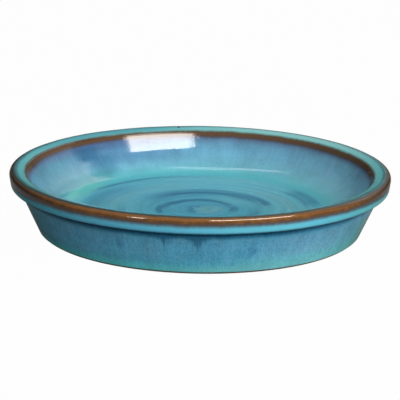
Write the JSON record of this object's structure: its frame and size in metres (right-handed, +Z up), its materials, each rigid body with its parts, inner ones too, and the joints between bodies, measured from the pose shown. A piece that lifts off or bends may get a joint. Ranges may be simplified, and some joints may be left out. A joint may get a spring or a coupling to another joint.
{
  "type": "plant saucer",
  "caption": "Round glazed stoneware plant saucer with flared walls, a rolled collar rim and a broad flat floor that catches water under a pot.",
  "frame": {"origin": "centre of the foot ring, on the plane that the saucer stands on", "axes": "+Z up along the axis that the saucer was turned about; X and Y level, X to the right in the picture's view"},
  "size_m": [0.27, 0.27, 0.0446],
  "materials": {
    "stoneware": "bare fired stoneware, matte and slightly gritty",
    "blue_glaze": "glossy reactive glaze, blue with turquoise where it pools",
    "turquoise_glaze": "glossy turquoise reactive glaze",
    "iron_glaze": "glossy glaze that breaks to iron brown over the rim's edges"
  },
  "bodies": {
    "root": {"clay_body": "stoneware", "outer_wall_glaze": "blue_glaze", "collar_glaze": "turquoise_glaze", "outer_rim_band": "iron_glaze", "rim_top_glaze": "turquoise_glaze", "inner_rim_band": "iron_glaze", "inner_wall_glaze": "blue_glaze", "floor_glaze": "blue_glaze"}
  },
  "joints": []
}
